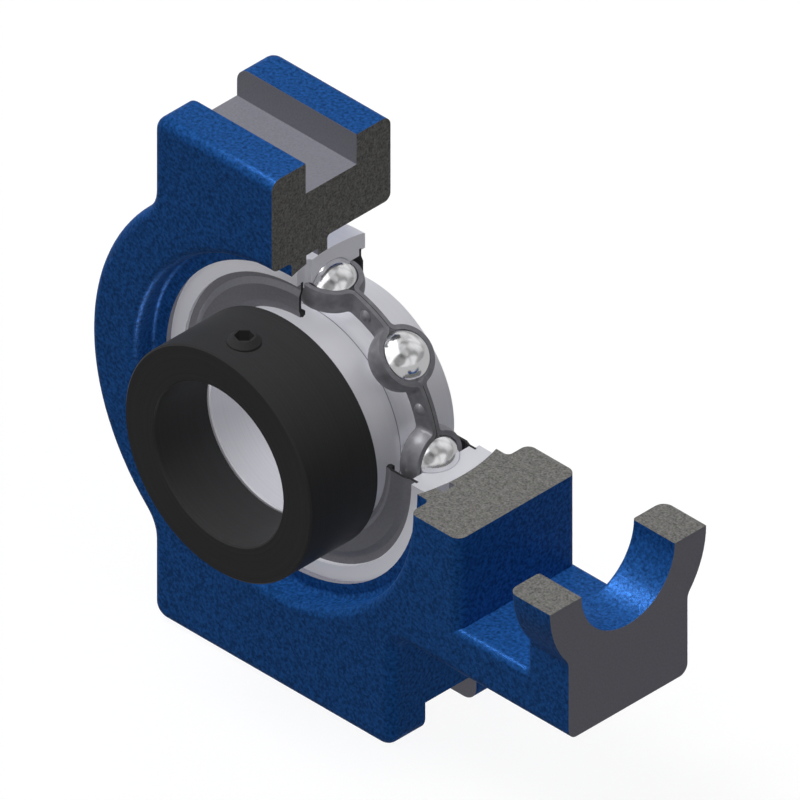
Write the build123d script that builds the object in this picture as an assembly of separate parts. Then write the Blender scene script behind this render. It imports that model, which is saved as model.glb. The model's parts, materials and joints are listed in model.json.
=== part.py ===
from build123d import *
from math import asin, cos, sin, sqrt
import os

# A take-up bearing unit shown as a cutaway, with one quarter of the housing,
# outer ring and seals removed. Sizes are in millimetres. The origin is the
# centre of the bearing. +X points to the lug that takes the adjusting screw,
# +Y to the rear face and +Z up. The shaft runs along Y, and the locking
# collar is at the front, on the -Y side.

# Bearing insert, from the shaft outward
shaft_bore_diameter = 30.0
inner_ring_section = 8.5          # shaft bore to ball centre
outer_ring_section = 7.5          # ball centre to spherical outside
ball_diameter = 9.525
ball_count = 8
first_ball_angle = 0.0            # degrees from +Z towards +X
race_conformity = 0.52            # groove radius over ball diameter
race_clearance = 0.08             # ball to each groove
inner_land_drop = 3.5             # ball centre down to the inner ring's land
outer_land_rise = 2.4             # ball centre up to the outer ring's land
outer_ring_width = 16.0
ring_corner_radius = 0.4
rear_overhang = 1.3               # inner ring past the outer ring at the rear
front_overhang = 2.6              # plain land past the outer ring at the front
bore_chamfer = 0.3

# Eccentric nose of the inner ring
nose_length = 3.0
nose_wall = 3.0
nose_eccentricity = 0.8
nose_chamfer = 0.4
nose_undercut = 0.5               # turned relief where the nose meets the ring

# Locking collar and its screw
collar_wall = 7.0
collar_width = 15.95
collar_chamfer = 0.3
collar_bore_clearance = 0.15
collar_end_clearance = 0.15       # collar to the shoulder of the inner ring
nose_clearance = 0.2
recess_depth_clearance = 0.5
set_screw_diameter = 6.0
set_screw_clearance = 0.05
set_screw_inset = 6.2             # screw axis from the collar's front face
set_screw_stand = 1.2             # screw above the collar's outside
set_screw_tip_gap = 0.5           # screw tip above the collar's bore
set_screw_tip_chamfer = 0.8
set_screw_end_chamfer = 1.0
socket_across_flats = 3.0
socket_depth = 2.6
socket_turn = 45.0                # degrees, corners away from the shaft's direction

# Two-piece pressed cage
cage_sheet = 0.8
cage_pocket_clearance = 0.15
cage_bend_radius = 0.8
cage_outer_gap = 0.4              # cage to the outer ring's land
cage_inner_gap = 1.5              # cage to the inner ring's land
rivet_shank_diameter = 1.4
rivet_hole_clearance = 0.03
rivet_head_diameter = 2.4
rivet_head_height = 0.8

# Seals: a stepped steel plate held in the outer ring, with a rubber lip
seal_inset = 1.4                  # face of the outer ring back to the seal
seal_least_gap = 0.4              # cage pocket to the seal
seal_sheet = 0.5
seal_step_height = 0.45
seal_groove_rise = 1.4            # outer land up to the floor of the seal groove
seal_mouth_drop = 0.4             # groove floor down to the mouth past it
seal_rim_width = 1.55             # flat rim, held in the seal groove
seal_slope_width = 1.15           # step between the rim and the raised flat
seal_inner_step = 0.25            # raised flat back to the inner edge
seal_inner_slope_width = 0.7
seal_inner_flat_width = 0.65
seal_rim_clearance = 0.1
lip_land_gap = 0.05
lip_plate_gap = 0.25              # plate's inner edge above the land
lip_width = 1.3                   # radial height of the rubber
lip_depth = 0.7                   # rubber behind the plate
lip_taper = 0.25

# Spherical seat in the housing
seat_clearance = 0.03
seat_margin = 1.3                 # seat past each face of the outer ring
recess_step = 1.4                 # seat radius up to the recess at each face
recess_floor_radius = 1.0
recess_mouth_radius = 1.6
slot_rise = 2.9                   # sphere up to the loading slots
slot_side_clearance = 0.75        # outer ring's width to each side of a slot
slot_start = -0.9                 # blind end of the loading slots
slot_mouth_radius = 1.4
slot_end_radius = 0.7
grease_groove_width = 2.8
grease_groove_depth = 1.2
grease_groove_lead = 1.0          # groove centre behind the oil hole
oil_hole_diameter = 1.8

# Housing
body_length = 28.0                # along the shaft
body_wall = 12.0                  # spherical seat to the round end
guide_block_width = 56.4
guide_spacing = 89.8              # between the floors of the guide grooves
guide_land_height = 6.1
guide_groove_width = 12.0
body_reach = 44.0                 # centre to the window
window_length = 16.0
window_height = 37.0
rail_height = 9.25
end_wall = 10.0
screw_hole_diameter = 22.0
boss_wall = 7.4
cast_edge_radius = 1.9
block_corner_radius = 3.0
neck_fillet = 7.0                 # round end into the guide block
lug_fillet = 3.2                  # lug into the guide block
boss_fillet = 2.6
boss_edge_radius = 2.0
window_corner_radius = 1.0
window_edge_radius = 1.3
screw_hole_edge_radius = 0.6

# Values that follow from the sizes above
bore_radius = shaft_bore_diameter / 2
ball_radius = ball_diameter / 2
ball_circle_radius = bore_radius + inner_ring_section
sphere_radius = ball_circle_radius + outer_ring_section
groove_radius = race_conformity * ball_diameter
inner_groove_centre = ball_circle_radius - ball_radius - race_clearance + groove_radius
outer_groove_centre = ball_circle_radius + ball_radius + race_clearance - groove_radius
inner_land_radius = ball_circle_radius - inner_land_drop
outer_land_radius = ball_circle_radius + outer_land_rise
ring_face = outer_ring_width / 2
shoulder_y = -(ring_face + front_overhang)
nose_end_y = shoulder_y - nose_length
inner_ring_rear_y = ring_face + rear_overhang
nose_radius = bore_radius + nose_wall

collar_radius = bore_radius + collar_wall
collar_bore_radius = bore_radius + collar_bore_clearance
collar_rear_y = shoulder_y - collar_end_clearance
collar_front_y = collar_rear_y - collar_width
set_screw_y = collar_front_y + set_screw_inset
set_screw_radius = set_screw_diameter / 2 - set_screw_clearance
set_screw_top = collar_radius + set_screw_stand
set_screw_tip = collar_bore_radius + set_screw_tip_gap

pocket_inner_radius = ball_radius + cage_pocket_clearance
pocket_outer_radius = pocket_inner_radius + cage_sheet
cage_outer_radius = outer_land_radius - cage_outer_gap
cage_inner_radius = inner_land_radius + cage_inner_gap
ball_pitch_angle = 360 / ball_count
first_rivet_angle = first_ball_angle + ball_pitch_angle / 2

seal_seat_y = max(ring_face - seal_inset, pocket_outer_radius + seal_least_gap)
seal_raised_y = seal_seat_y + seal_step_height
seal_edge_y = seal_raised_y - seal_inner_step
seal_groove_radius = outer_land_radius + seal_groove_rise
seal_mouth_radius = seal_groove_radius - seal_mouth_drop
seal_groove_end_y = seal_seat_y + seal_sheet + seal_rim_clearance
race_half_width = sqrt(groove_radius**2 - (outer_land_radius - outer_groove_centre)**2)
oil_hole_y = -(race_half_width + seal_seat_y) / 2

seat_radius = sphere_radius + seat_clearance
seat_end_y = ring_face + seat_margin
recess_radius = seat_radius + recess_step
slot_radius = sphere_radius + slot_rise
slot_width = outer_ring_width + 2 * slot_side_clearance
grease_groove_y = oil_hole_y + grease_groove_lead

body_face = body_length / 2
body_radius = sphere_radius + body_wall
guide_floor_z = guide_spacing / 2
guide_top_z = guide_floor_z + guide_land_height
block_side_x = guide_block_width / 2
lug_height = window_height + 2 * rail_height
window_end = body_reach + window_length
lug_reach = window_end + end_wall
boss_radius = screw_hole_diameter / 2 + boss_wall
cut_margin = 2 * cast_edge_radius  # how far cutters run past the surface
cut_reach = 2 * (lug_reach + guide_top_z)


def drum(radius, y_from, y_to):
    """A cylinder on the shaft axis between two places along Y."""
    return Pos(0, (y_from + y_to) / 2, 0) * Rot(90, 0, 0) * Cylinder(radius, abs(y_to - y_from))


def ball_shape(radius):
    """A sphere with its poles on the shaft axis."""
    return Rot(90, 0, 0) * Sphere(radius)


def race_groove(centre_radius):
    """The ring-shaped cutter that turns a raceway."""
    return Rot(90, 0, 0) * Torus(centre_radius, groove_radius)


def turned(*outline):
    """A ring turned about the shaft axis from a closed (radius, y) outline."""
    return revolve(Polygon(*outline, align=None), Axis.Y)


def edges_at_y(shape, *places):
    """The edges that lie flat at one of the given places along Y."""
    return [
        edge
        for edge in shape.edges()
        for y in places
        if abs(edge.bounding_box().min.Y - y) + abs(edge.bounding_box().max.Y - y) < 1e-3
    ]


def nearest_vertex(shape, x, y):
    """The corner of a sketch nearest to a point."""
    return shape.vertices().sort_by_distance((x, y, 0))[0]


def without_quarter(shape):
    """The shape with the quarter at x > 0, z > 0 cut away."""
    return shape - Pos(cut_reach / 2, 0, cut_reach / 2) * Box(cut_reach, cut_reach, cut_reach)


def around_ball_circle(shape, first_angle):
    """Copies of a shape, made at the origin, set out round the ball circle."""
    return [
        Rot(0, first_angle + step * ball_pitch_angle, 0) * Pos(0, 0, ball_circle_radius) * shape
        for step in range(ball_count)
    ]


def recess_cutter(radius, floor_y, floor_round, face_y, mouth_round):
    """A turned cutter for a recess with a rounded floor corner and mouth."""
    flare = radius + 2 * mouth_round
    outside_y = face_y + cut_margin
    outline = Polygon(
        (0, floor_y), (radius, floor_y), (radius, face_y),
        (flare, face_y), (flare, outside_y), (0, outside_y),
        align=None,
    )
    outline = fillet(nearest_vertex(outline, radius, floor_y), floor_round)
    outline = fillet(nearest_vertex(outline, radius, face_y), mouth_round)
    return revolve(outline, Axis.Y)


def housing_outline():
    """The casting seen along the shaft: guide block, round end and lug."""
    lug_length = lug_reach + cut_margin
    round_end = Circle(body_radius) & Pos(-body_radius, 0) * Rectangle(2 * body_radius, 2 * body_radius)
    outline = Rectangle(guide_block_width, 2 * guide_top_z) + round_end
    outline += Pos(lug_length / 2, 0) * Rectangle(lug_length, lug_height)
    neck_z = sqrt(body_radius**2 - block_side_x**2)
    corners = (
        (-block_side_x, neck_z, neck_fillet),
        (block_side_x, lug_height / 2, lug_fillet),
        (-block_side_x, guide_top_z, block_corner_radius),
        (block_side_x, guide_top_z, block_corner_radius),
    )
    for x, z, radius in corners:
        for side in (1, -1):
            outline = fillet(nearest_vertex(outline, x, side * z), radius)
    return outline


def lug_window(blank):
    """Cut the window through the lug, with the body's rounded wall at its near end."""
    start = body_reach - cut_margin
    middle = (start + window_end) / 2
    cutter = Pos(middle, 0, 0) * Box(window_end - start, 2 * body_length, window_height)
    blank -= fillet(cutter.edges().filter_by(Axis.Y), window_corner_radius)
    mouth = [
        edge
        for edge in edges_at_y(blank, -body_face, body_face)
        if start < edge.center().X < window_end + 1 and abs(edge.center().Z) <= window_height / 2
    ]
    blank = fillet(mouth, window_edge_radius)
    wall = Box(2 * cut_margin, body_length, window_height + rail_height)
    wall = fillet(wall.edges().filter_by(Axis.Z).group_by(Axis.X)[-1], cast_edge_radius)
    return blank + Pos(body_reach - cut_margin, 0, 0) * wall


def lug_end():
    """The lug's end wall with the round boss for the adjusting screw."""
    outline = Rectangle(body_length, lug_height) + Circle(boss_radius)
    junction = sqrt(boss_radius**2 - body_face**2)
    for side in (1, -1):
        for end in (1, -1):
            corner = nearest_vertex(outline, side * body_face, end * junction)
            outline = fillet(corner, boss_fillet)
            corner = nearest_vertex(outline, side * body_face, end * lug_height / 2)
            outline = fillet(corner, cast_edge_radius)
    plane = Plane(origin=(window_end, 0, 0), x_dir=(0, 1, 0), z_dir=(1, 0, 0))
    wall = extrude(plane * outline, amount=end_wall + cut_margin)
    inner_edges = wall.faces().sort_by(Axis.X)[0].edges()
    return fillet(inner_edges, boss_edge_radius)


def screw_hole():
    """The cored hole through the lug's end wall, rounded at the window."""
    cutter = recess_cutter(
        screw_hole_diameter / 2, -end_wall - cut_margin, screw_hole_edge_radius,
        0, screw_hole_edge_radius,
    )
    return Pos(window_end, 0, 0) * Rot(0, 0, 90) * cutter


def seat_cutter():
    """Everything turned or cast out of the housing around the bearing."""
    ball_seat = ball_shape(seat_radius) & drum(2 * seat_radius, -seat_end_y, seat_end_y)
    rear = recess_cutter(recess_radius, seat_end_y, recess_floor_radius, body_face, recess_mouth_radius)
    slots = recess_cutter(slot_radius, slot_start, slot_end_radius, body_face, slot_mouth_radius)
    slots &= Box(slot_width, cut_reach, cut_reach)
    groove_start = grease_groove_y - grease_groove_width / 2
    grease_groove = drum(seat_radius + grease_groove_depth, groove_start, groove_start + grease_groove_width)
    return ball_seat + rear + mirror(rear, Plane.XZ) + slots + grease_groove


def housing():
    """The cast housing with its machined guide grooves and end face."""
    blank = extrude(Plane.XZ * housing_outline(), amount=body_face, both=True)
    blank = fillet(edges_at_y(blank, -body_face, body_face), cast_edge_radius)
    casting = lug_window(blank) + lug_end() - screw_hole()
    casting -= Pos(lug_reach + cut_reach / 2, 0, 0) * Box(cut_reach, cut_reach, cut_reach)
    for side in (1, -1):
        groove = Box(2 * guide_block_width, guide_groove_width, 2 * guide_land_height)
        casting -= Pos(0, 0, side * (guide_floor_z + guide_land_height)) * groove
    return without_quarter(casting - seat_cutter())


def outer_ring():
    """The outer ring: spherical outside, raceway, seal grooves, oil hole."""
    blank = ball_shape(sphere_radius) & drum(2 * sphere_radius, -ring_face, ring_face)
    blank = fillet(edges_at_y(blank, -ring_face, ring_face), ring_corner_radius)
    blank -= drum(outer_land_radius, -outer_ring_width, outer_ring_width)
    for side in (1, -1):
        blank -= drum(seal_groove_radius, side * seal_seat_y, side * seal_groove_end_y)
        blank -= drum(seal_mouth_radius, side * seal_seat_y, side * outer_ring_width)
    blank -= race_groove(outer_groove_centre)
    blank -= Pos(0, oil_hole_y, sphere_radius) * Cylinder(oil_hole_diameter / 2, outer_ring_section * 2)
    return without_quarter(blank)


def inner_ring():
    """The inner ring: bore, raceway and eccentric nose for the collar."""
    chamfer_land = inner_land_radius - bore_chamfer
    ring = turned(
        (0, shoulder_y), (chamfer_land, shoulder_y), (inner_land_radius, shoulder_y + bore_chamfer),
        (inner_land_radius, inner_ring_rear_y - bore_chamfer), (chamfer_land, inner_ring_rear_y),
        (0, inner_ring_rear_y),
    )
    ring -= race_groove(inner_groove_centre)
    nose = drum(nose_radius, nose_end_y, shoulder_y)
    nose = chamfer(edges_at_y(nose, nose_end_y), nose_chamfer)
    neck = drum(nose_radius, shoulder_y - nose_undercut, shoulder_y)
    nose -= neck - drum(nose_radius - nose_undercut, shoulder_y - nose_undercut, shoulder_y)
    ring += Pos(nose_eccentricity, 0, 0) * nose
    bore = turned(
        (0, nose_end_y - bore_chamfer), (bore_radius + 2 * bore_chamfer, nose_end_y - bore_chamfer),
        (bore_radius, nose_end_y + bore_chamfer), (bore_radius, inner_ring_rear_y - bore_chamfer),
        (bore_radius + 2 * bore_chamfer, inner_ring_rear_y + bore_chamfer),
        (0, inner_ring_rear_y + bore_chamfer),
    )
    return ring - bore


def arc_between(centre, radius, start, end):
    """The short arc of a circle from one point to another."""
    middle = Vector(*start) + Vector(*end) - 2 * Vector(*centre)
    return ThreePointArc(start, Vector(*centre) + middle.normalized() * radius, end)


def cage_half():
    """The front half of the pressed cage: a flat ribbon with a hat over each ball."""
    bend_y = -(cage_sheet + cage_bend_radius)
    bend_rho = sqrt((pocket_outer_radius + cage_bend_radius)**2 - bend_y**2)
    lean = asin(bend_y / (pocket_outer_radius + cage_bend_radius))
    outer_touch = (pocket_outer_radius * cos(lean), pocket_outer_radius * sin(lean))
    inner_touch = (pocket_inner_radius * cos(lean), pocket_inner_radius * sin(lean))
    bend = (bend_rho, bend_y)
    hat = revolve(
        make_face([
            arc_between((0, 0), pocket_outer_radius, (0, -pocket_outer_radius), outer_touch),
            arc_between(bend, cage_bend_radius, outer_touch, (bend_rho, -cage_sheet)),
            Line((bend_rho, -cage_sheet), (bend_rho, 0)),
            arc_between(bend, cage_bend_radius + cage_sheet, (bend_rho, 0), inner_touch),
            arc_between((0, 0), pocket_inner_radius, inner_touch, (0, -pocket_inner_radius)),
            Line((0, -pocket_inner_radius), (0, -pocket_outer_radius)),
        ]),
        Axis.Y,
    )
    band = drum(cage_outer_radius, -ring_face, 0) - drum(cage_inner_radius, -ring_face, 0)
    half = band & drum(2 * cage_outer_radius, -cage_sheet, 0)
    half -= around_ball_circle(drum(bend_rho, -cage_sheet, 0), first_ball_angle)
    half += [hat_place & band for hat_place in around_ball_circle(hat, first_ball_angle)]
    hole = drum(rivet_shank_diameter / 2 + rivet_hole_clearance, -cage_sheet, 0)
    return half - around_ball_circle(hole, first_rivet_angle)


def rivet():
    """A rivet with a domed head at each end."""
    shank = rivet_shank_diameter / 2
    head = rivet_head_diameter / 2
    top = cage_sheet + rivet_head_height
    dome_radius = (head**2 + rivet_head_height**2) / (2 * rivet_head_height)
    outline = make_face([
        Line((0, -top), (0, top)),
        arc_between((0, top - dome_radius), dome_radius, (0, top), (head, cage_sheet)),
        Line((head, cage_sheet), (shank, cage_sheet)),
        Line((shank, cage_sheet), (shank, -cage_sheet)),
        Line((shank, -cage_sheet), (head, -cage_sheet)),
        arc_between((0, dome_radius - top), dome_radius, (head, -cage_sheet), (0, -top)),
    ])
    return revolve(outline, Axis.Y)


def seal_plate():
    """The front seal's stepped steel plate, cut like the outer ring."""
    rim = seal_groove_radius - seal_rim_clearance
    rim_inner = rim - seal_rim_width
    flat_outer = rim_inner - seal_slope_width
    edge = inner_land_radius + lip_plate_gap
    edge_outer = edge + seal_inner_flat_width
    flat_inner = edge_outer + seal_inner_slope_width
    inside = (
        (rim, -seal_seat_y), (rim_inner, -seal_seat_y), (flat_outer, -seal_raised_y),
        (flat_inner, -seal_raised_y), (edge_outer, -seal_edge_y), (edge, -seal_edge_y),
    )
    outside = [(radius, y - seal_sheet) for radius, y in reversed(inside)]
    return without_quarter(turned(*inside, *outside))


def seal_lip():
    """The front seal's rubber lip, behind the plate and just off the land."""
    bottom = inner_land_radius + lip_land_gap
    front = -seal_edge_y
    lip = turned(
        (bottom, front), (bottom, front + lip_taper), (bottom + lip_taper, front + lip_depth),
        (bottom + lip_width - lip_taper, front + lip_depth), (bottom + lip_width - lip_taper, front),
    )
    return without_quarter(lip)


def locking_collar():
    """The eccentric locking collar with its tapped hole at the top."""
    collar = drum(collar_radius, collar_front_y, collar_rear_y)
    collar = chamfer(edges_at_y(collar, collar_front_y, collar_rear_y), collar_chamfer)
    flare = collar_bore_radius + 2 * collar_chamfer
    collar -= turned(
        (0, collar_front_y - collar_chamfer), (flare, collar_front_y - collar_chamfer),
        (collar_bore_radius, collar_front_y + collar_chamfer),
        (collar_bore_radius, collar_rear_y + collar_chamfer), (0, collar_rear_y + collar_chamfer),
    )
    recess_end_y = nose_end_y - recess_depth_clearance
    recess = drum(nose_radius + nose_clearance, recess_end_y, collar_rear_y + collar_width)
    collar -= Pos(nose_eccentricity, 0, 0) * recess
    hole = Cylinder(set_screw_diameter / 2, 3 * collar_wall)
    return collar - Pos(0, set_screw_y, collar_radius) * hole


def set_screw():
    """The socket set screw that holds the collar, with its tip over the shaft."""
    length = set_screw_top - set_screw_tip
    screw = Cylinder(set_screw_radius, length)
    ends = screw.edges().filter_by(GeomType.CIRCLE).sort_by(Axis.Z)
    screw = chamfer(ends[-1], set_screw_end_chamfer)
    ends = screw.edges().filter_by(GeomType.CIRCLE).sort_by(Axis.Z)
    screw = chamfer(ends[0], set_screw_tip_chamfer)
    socket = extrude(RegularPolygon(socket_across_flats / 2, 6, major_radius=False), amount=socket_depth)
    screw -= Pos(0, 0, length / 2 - socket_depth) * Rot(0, 0, socket_turn) * socket
    return Pos(0, set_screw_y, (set_screw_top + set_screw_tip) / 2) * screw


def write(node, *solids):
    """Write one sub-part, or a group of like solids, as a file of its own."""
    shape = solids[0] if len(solids) == 1 else Compound(children=list(solids))
    export_step(shape, f"parts/{node}.step")


os.makedirs("parts", exist_ok=True)

write("housing", housing())
write("outer_ring", outer_ring())
write("inner_ring", inner_ring())
for number, ball in enumerate(around_ball_circle(ball_shape(ball_radius), first_ball_angle), 1):
    write(f"ball_{number}", ball)

front_half = cage_half()
write("cage_front", front_half)
write("cage_back", mirror(front_half, Plane.XZ))
write("cage_rivets", *around_ball_circle(rivet(), first_rivet_angle))

for name, piece in (("seal_plate", seal_plate()), ("seal_lip", seal_lip())):
    write(f"front_{name}", piece)
    write(f"rear_{name}", mirror(piece, Plane.XZ))

write("locking_collar", locking_collar())
write("set_screw", set_screw())
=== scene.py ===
import json
import math

import bpy
from mathutils import Matrix, Vector


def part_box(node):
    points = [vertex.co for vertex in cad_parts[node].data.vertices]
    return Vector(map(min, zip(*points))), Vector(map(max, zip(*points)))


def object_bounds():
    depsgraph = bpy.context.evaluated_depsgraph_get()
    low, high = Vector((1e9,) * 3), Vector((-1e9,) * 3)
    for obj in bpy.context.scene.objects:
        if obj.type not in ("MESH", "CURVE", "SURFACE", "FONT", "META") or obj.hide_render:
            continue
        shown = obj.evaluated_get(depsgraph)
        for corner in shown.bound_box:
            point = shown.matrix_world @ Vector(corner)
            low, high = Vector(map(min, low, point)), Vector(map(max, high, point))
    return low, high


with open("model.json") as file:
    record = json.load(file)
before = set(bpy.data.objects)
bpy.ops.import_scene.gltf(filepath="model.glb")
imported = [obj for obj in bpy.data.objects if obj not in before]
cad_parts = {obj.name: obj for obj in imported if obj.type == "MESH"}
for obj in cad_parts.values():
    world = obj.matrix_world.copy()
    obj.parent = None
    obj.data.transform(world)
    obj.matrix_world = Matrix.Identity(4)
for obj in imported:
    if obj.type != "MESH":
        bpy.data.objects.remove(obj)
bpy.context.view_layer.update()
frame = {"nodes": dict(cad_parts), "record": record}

# Lengths are in metres and in the CAD model's frame: +X to the lug, +Y to the rear, +Z up.
MM = 0.001
PLANE_TOLERANCE = 0.02 * MM

# Where the housing is milled: end face, guide grooves, spherical seat and its grease groove
mounts = {mount["name"]: mount for mount in frame["record"]["mounts"]}
end_face_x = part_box("housing")[1].x
groove_floor_z = -mounts["lower_guide_groove"]["pos_m"][2]
GROOVE_HALF_WIDTH = 6 * MM
SEAT_RADIUS = 31.03 * MM
SEAT_HALF_WIDTH = 9.3 * MM
GREASE_GROOVE_RADIUS = 32.23 * MM
GREASE_GROOVE_Y = -4.44 * MM
GREASE_GROOVE_HALF_WIDTH = 1.42 * MM

# Where the rings and the cage change in tone, and the tones in 0 to 255 sRGB: the outer ring's
# faces carry painted light, the inner ring's raceway edges a painted shade line, the cage a dark
# seam
# Painted light: the outer ring's side faces are painted lighter to lift the shade that falls on
# them in the housing's recess
OUTER_FACE_PAINTED_LIGHT_TONE = (246, 246, 252)
# Painted shade: a dark line along each edge of the inner ring's raceway, for the shading of that
# edge
RACEWAY_EDGE_PAINTED_SHADE_TONE = (120, 120, 126)
OUTER_RING_FACE_Y = 8.0 * MM
OUTER_RING_FACE_TOLERANCE = 0.03 * MM
RACEWAY_EDGE_Y = 3.58 * MM
RACEWAY_EDGE_TOLERANCE = 0.08 * MM
INNER_RING_WALL_RADIUS = 17 * MM
CAGE_SEAM_HALF_WIDTH = 0.07 * MM

# The range that most of a noise's values lie in, and how much of a coarser noise joins a fine one
NOISE_RANGE = (0.3, 0.7)
COARSE_SHARE = 0.4
COARSE_NOISE_RANGE = (0.5, 0.9)

# The seal's plate is black where its normal turns this far to the inside
INWARD_FACING = -0.3

# The camera of the photograph: an orthographic isometric view, 6 pixels to the millimetre
PIXELS_PER_MM = 6.0
PICTURE_WIDTH = 800
ORIGIN_PIXEL = (331.15, 399.0)
CAMERA_DISTANCE = 0.6

# Directions from the part towards its lights, the places that the spots light, and the lights'
# sizes: angles in degrees
UPPER_LEFT = (-0.30, -0.20, 0.93)
RIGHT = (0.95, -0.10, 0.20)
FRONT = (0.10, -0.97, -0.10)
REAR = (-0.60, 0.60, 0.50)
ABOVE_LUG = (-0.58, -0.19, 0.80)
BELOW_RECESS = (0.40, -0.20, -0.90)
UPPER_FRONT = (-0.45, -0.64, 0.62)
LUG_HOLE = (0.062, 0, -0.008)
LUG_WINDOW_EDGE = (0.052, -0.016, -0.018)
RECESS_LEFT = (-0.033, -0.014, 0.004)
SUN_ANGLE = 20
SHADOW_SUN_ANGLE = 30
SPOT_DISTANCE = 1.0
SPOT_RADIUS = 0.02
SPOT_BLEND = 0.6

# What glossy surfaces mirror of the studio: clouds of light, and a dark round card
CLOUD_SIZE = 1 / 1.9
CLOUD_NOISE_RANGE = (0.35, 0.65)
CLOUD_LEVELS = (0.3, 0.8)
CARD_DIRECTION = (0.506, -0.72, 0.472)
CARD_EDGE_COSINES = (0.89, 0.925)
CARD_LEVELS = (1.0, 0.4)
AMBIENT = 0.06

# The floor as the camera, a reflection and the part's diffuse light see it
FLOOR_HALF_SIZE = 4.0
FLOOR_COLOUR = (0.45, 0.25, 0.1)
FLOOR_GLOW = (0.57, 0.25, 0.0)


def linear(*srgb):
    """A colour written in 0 to 255 sRGB, as linear RGBA."""
    channels = [c / 255 for c in srgb]
    return [c / 12.92 if c <= 0.04045 else ((c + 0.055) / 1.055) ** 2.4 for c in channels] + [1.0]


class Nodes:
    """A node tree under construction, with short calls for its nodes."""

    def __init__(self, tree, coordinate):
        self.tree = tree
        tree.nodes.clear()
        self.place = self.node("ShaderNodeTexCoord").outputs[coordinate]

    def node(self, kind, settings=(), **inputs):
        """Add a node, set its properties and join or set its inputs."""
        made = self.tree.nodes.new(kind)
        for name, value in dict(settings).items():
            setattr(made, name, value)
        for name, value in inputs.items():
            self.feed(made.inputs[name.replace("_", " ")], value)
        return made

    def feed(self, socket, value):
        """Join an output to a socket, or set the socket's value."""
        if isinstance(value, bpy.types.NodeSocket):
            self.tree.links.new(value, socket)
        else:
            socket.default_value = value

    def math(self, operation, *values):
        """A math node on numbers or outputs."""
        made = self.node("ShaderNodeMath", {"operation": operation})
        for socket, value in zip(made.inputs, values):
            self.feed(socket, value)
        return made.outputs[0]

    def noise(self, feature, detail=2.0, roughness=0.5, vector=None, distortion=0.0):
        """Noise whose features are about the given size across."""
        made = self.node(
            "ShaderNodeTexNoise", Vector=vector or self.place, Scale=1 / feature,
            Detail=detail, Roughness=roughness, Distortion=distortion,
        )
        return made.outputs["Fac"]

    def ramp(self, value, low, high, to_low=0.0, to_high=1.0):
        """Map a range of values to another, clamped."""
        made = self.node(
            "ShaderNodeMapRange", Value=value,
            From_Min=low, From_Max=high, To_Min=to_low, To_Max=to_high,
        )
        return made.outputs["Result"]

    def choose(self, factor, first, second):
        """The first number where the factor is 0, the second where it is 1."""
        # The node's numbers are its inputs 2 and 3
        made = self.node("ShaderNodeMix", {"data_type": "FLOAT"})
        for index, value in ((0, factor), (2, first), (3, second)):
            self.feed(made.inputs[index], value)
        return made.outputs[0]

    def blend(self, factor, first, second):
        """The first shader where the factor is 0, the second where it is 1."""
        made = self.node("ShaderNodeMixShader", Fac=factor)
        self.feed(made.inputs[1], first)
        self.feed(made.inputs[2], second)
        return made.outputs[0]


class Finish(Nodes):
    """A procedural material in the object's own coordinates."""

    def __init__(self, name):
        self.material = bpy.data.materials.new(name)
        self.material.use_nodes = True
        super().__init__(self.material.node_tree, "Object")
        parts = self.node("ShaderNodeSeparateXYZ", Vector=self.place)
        self.x, self.y, self.z = parts.outputs["X"], parts.outputs["Y"], parts.outputs["Z"]

    def mix(self, factor, first, second):
        """Mix two colours."""
        # The node's colours are its inputs 6 and 7 and its output 2
        made = self.node("ShaderNodeMix", {"data_type": "RGBA"})
        for index, value in ((0, factor), (6, first), (7, second)):
            self.feed(made.inputs[index], value)
        return made.outputs[2]

    def spread(self, noise, to_low=0.0, to_high=1.0):
        """Map most of a noise's values to a range."""
        return self.ramp(noise, *NOISE_RANGE, to_low, to_high)

    def tint(self, noise, dark, bright):
        """A colour between two sRGB colours that follows a noise."""
        return self.mix(self.spread(noise), linear(*dark), linear(*bright))

    def near(self, value, target, tolerance=PLANE_TOLERANCE):
        """1 where value is within the tolerance of target, otherwise 0."""
        return self.math("COMPARE", value, target, tolerance)

    def above(self, value, limit):
        """1 where value is over the limit, otherwise 0."""
        return self.math("GREATER_THAN", value, limit)

    def below(self, value, limit):
        """1 where value is under the limit, otherwise 0."""
        return self.math("LESS_THAN", value, limit)

    def both(self, first, second):
        """Where two masks overlap."""
        return self.math("MULTIPLY", first, second)

    def either(self, first, second):
        """Where at least one of two masks is."""
        return self.math("MAXIMUM", first, second)

    def cut_faces(self):
        """Masks of the two sawn faces: the upright one at x = 0 and the level one at z = 0."""
        return (
            self.both(self.near(self.x, 0.0), self.above(self.z, 0.0)),
            self.both(self.near(self.z, 0.0), self.above(self.x, 0.0)),
        )

    def magnitude(self, value):
        """A value without its sign."""
        return self.math("ABSOLUTE", value)

    def radius(self):
        """Distance from the shaft axis."""
        squares = (self.math("POWER", value, 2.0) for value in (self.x, self.z))
        return self.math("SQRT", self.math("ADD", *squares))

    def turned(self, feature):
        """Noise that is the same all round the shaft axis, as a lathe leaves it."""
        ring = self.node("ShaderNodeCombineXYZ", X=self.radius(), Y=self.y).outputs[0]
        return self.noise(feature, detail=3.0, vector=ring)

    def bump(self, height, depth):
        """A surface relief of the given depth."""
        return self.node("ShaderNodeBump", Height=height, Distance=depth).outputs["Normal"]

    def shader(self, **inputs):
        """A Principled shader."""
        return self.node("ShaderNodeBsdfPrincipled", **inputs).outputs[0]

    def show(self, shader):
        """Join a shader to the output and return the material."""
        self.node("ShaderNodeOutputMaterial", Surface=shader)
        return self.material


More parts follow.
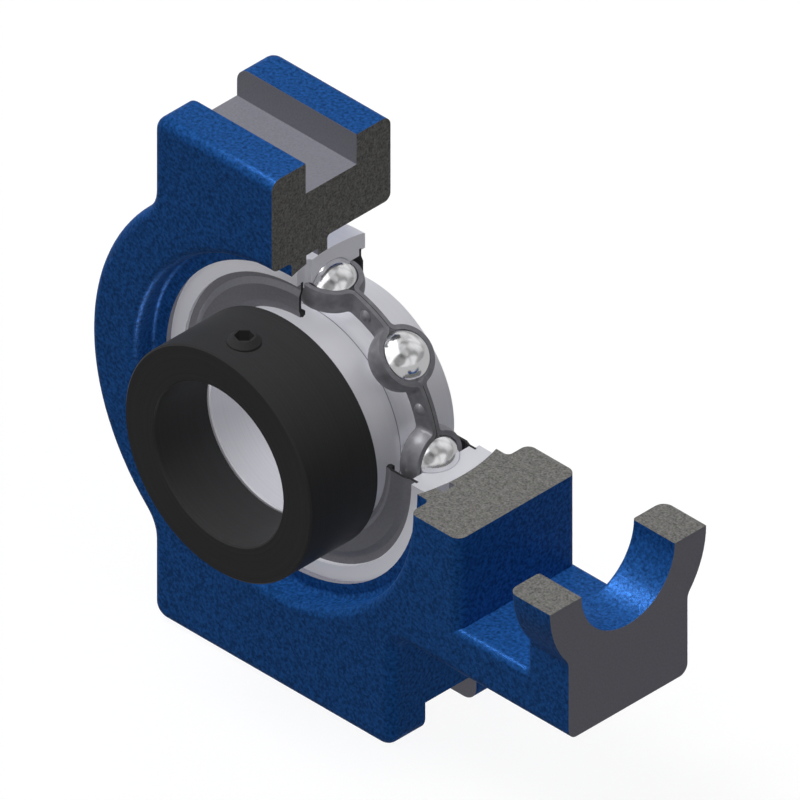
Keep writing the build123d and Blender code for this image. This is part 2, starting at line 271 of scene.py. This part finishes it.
def cast_paint(finish):
    """Blue paint over a sand-cast skin."""
    grain = finish.noise(0.6 * MM, distortion=0.3)
    swell = finish.noise(2.6 * MM, detail=1.0)
    height = finish.math("ADD", grain, finish.math("MULTIPLY", swell, COARSE_SHARE))
    return finish.shader(
        Base_Color=finish.tint(grain, (18, 57, 106), (35, 90, 162)),
        Roughness=finish.spread(grain, 0.5, 0.44), Metallic=0.15, Specular_IOR_Level=0.02,
        Normal=finish.bump(height, 0.07 * MM),
    )


def bare_iron(finish):
    """Cast iron as a saw leaves it: fine mottled grey."""
    speckle = finish.noise(0.42 * MM, roughness=0.65)
    blotch = finish.noise(1.1 * MM, detail=1.0)
    mottle = finish.math("ADD", speckle, finish.math("MULTIPLY", blotch, COARSE_SHARE))
    shade = finish.ramp(mottle, *COARSE_NOISE_RANGE)
    return finish.shader(
        Base_Color=finish.mix(shade, linear(86, 86, 84), linear(134, 133, 130)),
        Roughness=0.65, Specular_IOR_Level=0.02, Normal=finish.bump(speckle, 0.12 * MM),
    )


def machined_iron(finish):
    """Smooth milled iron with faint marks of the tool."""
    marks = finish.noise(0.4 * MM, detail=1.0)
    return finish.shader(
        Base_Color=finish.tint(marks, (124, 124, 133), (132, 132, 141)),
        Roughness=finish.spread(marks, 0.42, 0.48), Specular_IOR_Level=0.03,
        Normal=finish.bump(marks, 0.008 * MM),
    )


def housing_finish():
    """Paint on the cast skin, with the milled and sawn faces bare."""
    finish = Finish("cast_housing")
    both, either, above, below = finish.both, finish.either, finish.above, finish.below
    across = finish.magnitude(finish.y)
    distance = finish.node("ShaderNodeVectorMath", {"operation": "LENGTH"}, Vector=finish.place)
    seat = both(
        below(distance.outputs["Value"], SEAT_RADIUS + 2 * PLANE_TOLERANCE),
        below(across, SEAT_HALF_WIDTH),
    )
    grease_groove = both(
        below(finish.radius(), GREASE_GROOVE_RADIUS + PLANE_TOLERANCE),
        finish.near(finish.y, GREASE_GROOVE_Y, GREASE_GROOVE_HALF_WIDTH),
    )
    guide_groove = both(
        below(across, GROOVE_HALF_WIDTH + PLANE_TOLERANCE),
        above(finish.magnitude(finish.z), groove_floor_z - PLANE_TOLERANCE),
    )
    end_face = above(finish.x, end_face_x - PLANE_TOLERANCE)
    milled = either(either(seat, grease_groove), either(guide_groove, end_face))
    skin = finish.blend(milled, cast_paint(finish), machined_iron(finish))
    return finish.show(finish.blend(either(*finish.cut_faces()), skin, bare_iron(finish)))


def turned_steel(name, dark, bright, roughness, metallic, specular=0.5, faces=(), cut=()):
    """Steel with fine lathe or grinding marks round the shaft axis.

    Each of the faces is a (colour, y, tolerance, radius) for the places at that distance from
    the middle and outside that radius, and cut has the colours of the two sawn faces.
    """
    finish = Finish(name)
    marks = finish.turned(0.18 * MM)
    colour = finish.tint(marks, dark, bright)
    # Bands at these places: painted light on the outer ring's side faces, painted shade along the
    # inner ring's raceway edges
    for shade, y, tolerance, radius in faces:
        there = finish.both(
            finish.near(finish.magnitude(finish.y), y, tolerance),
            finish.above(finish.radius(), radius),
        )
        colour = finish.mix(there, colour, linear(*shade))
    # The sawn faces' tones: on the outer ring the upright face is painted lighter than the level
    # one, as painted light to even out the light they get
    for face, shade in zip(finish.cut_faces(), cut):
        colour = finish.mix(face, colour, linear(*shade))
    return finish.show(finish.shader(
        Base_Color=colour, Roughness=roughness, Metallic=metallic,
        Specular_IOR_Level=specular, Normal=finish.bump(marks, 0.004 * MM),
    ))


def pressed_cage():
    """Pressed steel sheet, faintly cloudy, with a dark seam where the two halves meet."""
    dark, bright = (110, 110, 115), (126, 126, 131)
    finish = Finish("cage_steel")
    cloud = finish.noise(1.2 * MM, detail=3.0)
    seam = finish.near(finish.y, 0.0, CAGE_SEAM_HALF_WIDTH)
    colour = finish.mix(seam, finish.tint(cloud, dark, bright), linear(*(c / 3 for c in dark)))
    return finish.show(finish.shader(
        Base_Color=colour, Roughness=0.46, Metallic=0.2, Normal=finish.bump(cloud, 0.01 * MM),
    ))


def polished_balls():
    """Polished ball steel."""
    finish = Finish("ball_steel")
    film = finish.noise(1.4 * MM, detail=3.0)
    return finish.show(finish.shader(
        Base_Color=linear(240, 240, 242), Metallic=1.0, Roughness=finish.spread(film, 0.12, 0.2),
    ))


def seal_sheet():
    """The seal's steel plate, with black rubber on its inside and through its cut edge."""
    finish = Finish("seal_steel")
    cloud = finish.noise(0.5 * MM)
    steel = finish.tint(cloud, (116, 116, 121), (123, 123, 128))
    normal = finish.node("ShaderNodeTexCoord").outputs["Normal"]
    facing = finish.node("ShaderNodeSeparateXYZ", Vector=normal).outputs["Y"]
    outward = finish.math("MULTIPLY", facing, finish.math("SIGN", finish.y))
    inside = finish.below(outward, INWARD_FACING)
    black = finish.either(inside, finish.either(*finish.cut_faces()))
    return finish.show(finish.shader(
        Base_Color=finish.mix(black, steel, linear(34, 34, 36)),
        Metallic=finish.choose(black, 0.1, 0.0), Roughness=finish.choose(black, 0.45, 0.6),
        Specular_IOR_Level=0.2, Normal=finish.bump(cloud, 0.004 * MM),
    ))


def rubber():
    """Black seal rubber."""
    finish = Finish("seal_rubber")
    grain = finish.noise(0.3 * MM)
    return finish.show(finish.shader(
        Base_Color=finish.mix(grain, linear(16, 16, 17), linear(30, 30, 31)),
        Roughness=0.6, Specular_IOR_Level=0.3, Normal=finish.bump(grain, 0.01 * MM),
    ))


def dress(material, *nodes):
    """Give CAD nodes a material."""
    for name in nodes:
        mesh = frame["nodes"][name].data
        mesh.materials.clear()
        mesh.materials.append(material)


def add_camera():
    """The photograph's camera."""
    right = Vector((1, 1, 0)).normalized()
    up = Vector((-1, 1, 2)).normalized()
    back = Vector((1, -1, 1)).normalized()
    data = bpy.data.cameras.new("camera")
    data.type = "ORTHO"
    data.ortho_scale = PICTURE_WIDTH / PIXELS_PER_MM * MM
    middle = PICTURE_WIDTH / 2
    aim = right * (middle - ORIGIN_PIXEL[0]) + up * (ORIGIN_PIXEL[1] - middle)
    place = Matrix.Translation(aim * MM / PIXELS_PER_MM + back * CAMERA_DISTANCE)
    camera = bpy.data.objects.new("camera", data)
    camera.matrix_world = place @ Matrix((right, up, back)).transposed().to_4x4()
    bpy.context.scene.collection.objects.link(camera)
    bpy.context.scene.camera = camera


def place_light(data, direction, location=(0, 0, 0)):
    """Put a light in the scene, shining from the given direction."""
    lamp = bpy.data.objects.new(data.name, data)
    lamp.location = location
    lamp.rotation_euler = Vector(direction).to_track_quat("Z", "Y").to_euler()
    bpy.context.scene.collection.objects.link(lamp)
    return lamp


def add_sun(direction, level, angle=SUN_ANGLE, shadow=False):
    """A soft sun that lights a facing surface to the level and isn't seen in reflections."""
    data = bpy.data.lights.new("sun", "SUN")
    data.energy = level * math.pi
    data.angle = math.radians(angle)
    data.use_shadow = shadow
    place_light(data, direction).visible_glossy = False


def add_spot(direction, target, reach, level):
    """A spot that makes highlights within reach of a target, and lights nothing else."""
    data = bpy.data.lights.new("spot", "SPOT")
    data.energy = level * math.pi * 4 * math.pi * SPOT_DISTANCE ** 2
    data.shadow_soft_size = SPOT_RADIUS
    data.spot_size = 2 * math.atan(reach / SPOT_DISTANCE)
    data.spot_blend = SPOT_BLEND
    data.use_shadow = False
    towards = Vector(direction).normalized()
    lamp = place_light(data, direction, Vector(target) + towards * SPOT_DISTANCE)
    lamp.visible_diffuse = False


def add_panel(direction, distance, size, radiance):
    """A square light panel that is seen in reflections only."""
    data = bpy.data.lights.new("key", "AREA")
    data.size = size
    data.energy = radiance * math.pi * size ** 2
    lamp = place_light(data, direction, Vector(direction).normalized() * distance)
    lamp.visible_diffuse = False


def add_world():
    """A studio: white to the camera, dim and even as a light, cloudy in reflections."""
    world = bpy.data.worlds.new("studio")
    bpy.context.scene.world = world
    world.use_nodes = True
    sky = Nodes(world.node_tree, "Generated")
    clouds = sky.noise(CLOUD_SIZE, detail=1.0, distortion=0.5)
    level = sky.ramp(clouds, *CLOUD_NOISE_RANGE, *CLOUD_LEVELS)
    cosine = sky.node("ShaderNodeVectorMath", {"operation": "DOT_PRODUCT"})
    sky.feed(cosine.inputs[0], sky.place)
    sky.feed(cosine.inputs[1], CARD_DIRECTION)
    card = sky.ramp(cosine.outputs["Value"], *CARD_EDGE_COSINES, *CARD_LEVELS)
    mirrored, plain, white = (
        sky.node("ShaderNodeBackground", Color=(1, 1, 1, 1), Strength=strength).outputs[0]
        for strength in (sky.math("MULTIPLY", level, card), AMBIENT, 1.0)
    )
    path = sky.node("ShaderNodeLightPath").outputs
    light = sky.blend(path["Is Glossy Ray"], plain, mirrored)
    seen = sky.blend(path["Is Camera Ray"], light, white)
    sky.node("ShaderNodeOutputWorld", Surface=seen)


def add_floor():
    """A plain white floor under the part, which keeps a light shadow."""
    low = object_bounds()[0][2]
    corners = [
        (x * FLOOR_HALF_SIZE, y * FLOOR_HALF_SIZE, low)
        for x, y in ((-1, -1), (1, -1), (1, 1), (-1, 1))
    ]
    mesh = bpy.data.meshes.new("floor")
    mesh.from_pydata(corners, [], [(0, 1, 2, 3)])
    floor = bpy.data.objects.new("floor", mesh)
    bpy.context.scene.collection.objects.link(floor)
    finish = Finish("floor")
    path = finish.node("ShaderNodeLightPath").outputs
    colour, glow = (
        finish.choose(
            path["Is Camera Ray"], finish.choose(path["Is Glossy Ray"], diffuse, glossy), camera,
        )
        for camera, glossy, diffuse in (FLOOR_COLOUR, FLOOR_GLOW)
    )
    whole = finish.node("ShaderNodeAddShader")
    finish.feed(whole.inputs[0], finish.node("ShaderNodeBsdfDiffuse", Color=colour).outputs[0])
    finish.feed(whole.inputs[1], finish.node("ShaderNodeEmission", Strength=glow).outputs[0])
    mesh.materials.append(finish.show(whole.outputs[0]))


# The outer ring: its side faces carry painted light, and its upright sawn face is painted lighter
# than its level one
outer_ring_steel = turned_steel(
    "ring_steel", (220, 220, 227), (228, 228, 235), roughness=0.38, metallic=0.3,
    faces=((OUTER_FACE_PAINTED_LIGHT_TONE, OUTER_RING_FACE_Y, OUTER_RING_FACE_TOLERANCE, 0.0),),
    cut=((222, 222, 230), (208, 208, 215)),
)
# The inner ring: a painted shade line along each edge of its raceway
inner_ring_steel = turned_steel(
    "inner_ring_steel", (210, 210, 217), (218, 218, 225), roughness=0.40, metallic=0.25,
    faces=((RACEWAY_EDGE_PAINTED_SHADE_TONE, RACEWAY_EDGE_Y, RACEWAY_EDGE_TOLERANCE, INNER_RING_WALL_RADIUS),),
)
black_steel = turned_steel(
    "black_steel", (52, 52, 53), (58, 58, 59), roughness=0.42, metallic=0.0, specular=0.03,
)

dress(housing_finish(), "housing")
dress(outer_ring_steel, "outer_ring")
dress(inner_ring_steel, "inner_ring")
dress(polished_balls(), *(name for name in frame["nodes"] if name.startswith("ball_")))
dress(pressed_cage(), "cage_front", "cage_back", "cage_rivets")
dress(seal_sheet(), "front_seal_plate", "rear_seal_plate")
dress(rubber(), "front_seal_lip", "rear_seal_lip")
dress(black_steel, "locking_collar", "set_screw")

add_camera()
add_world()

# The main light, two fills for the faces that it misses, the floor's shadow, and the rear
add_sun(UPPER_LEFT, level=0.71)
add_sun(RIGHT, level=0.20)
add_sun(FRONT, level=0.12)
add_sun(UPPER_LEFT, level=0.11, angle=SHADOW_SUN_ANGLE, shadow=True)
add_sun(REAR, level=0.20)

# Highlights
add_spot(ABOVE_LUG, LUG_HOLE, reach=0.021, level=2.8)
add_spot(ABOVE_LUG, LUG_WINDOW_EDGE, reach=0.013, level=1.2)
add_spot(BELOW_RECESS, RECESS_LEFT, reach=0.020, level=1.5)
add_panel(UPPER_FRONT, distance=0.8, size=1.3, radiance=0.75)

add_floor()

bpy.context.scene.view_settings.view_transform = "Standard"
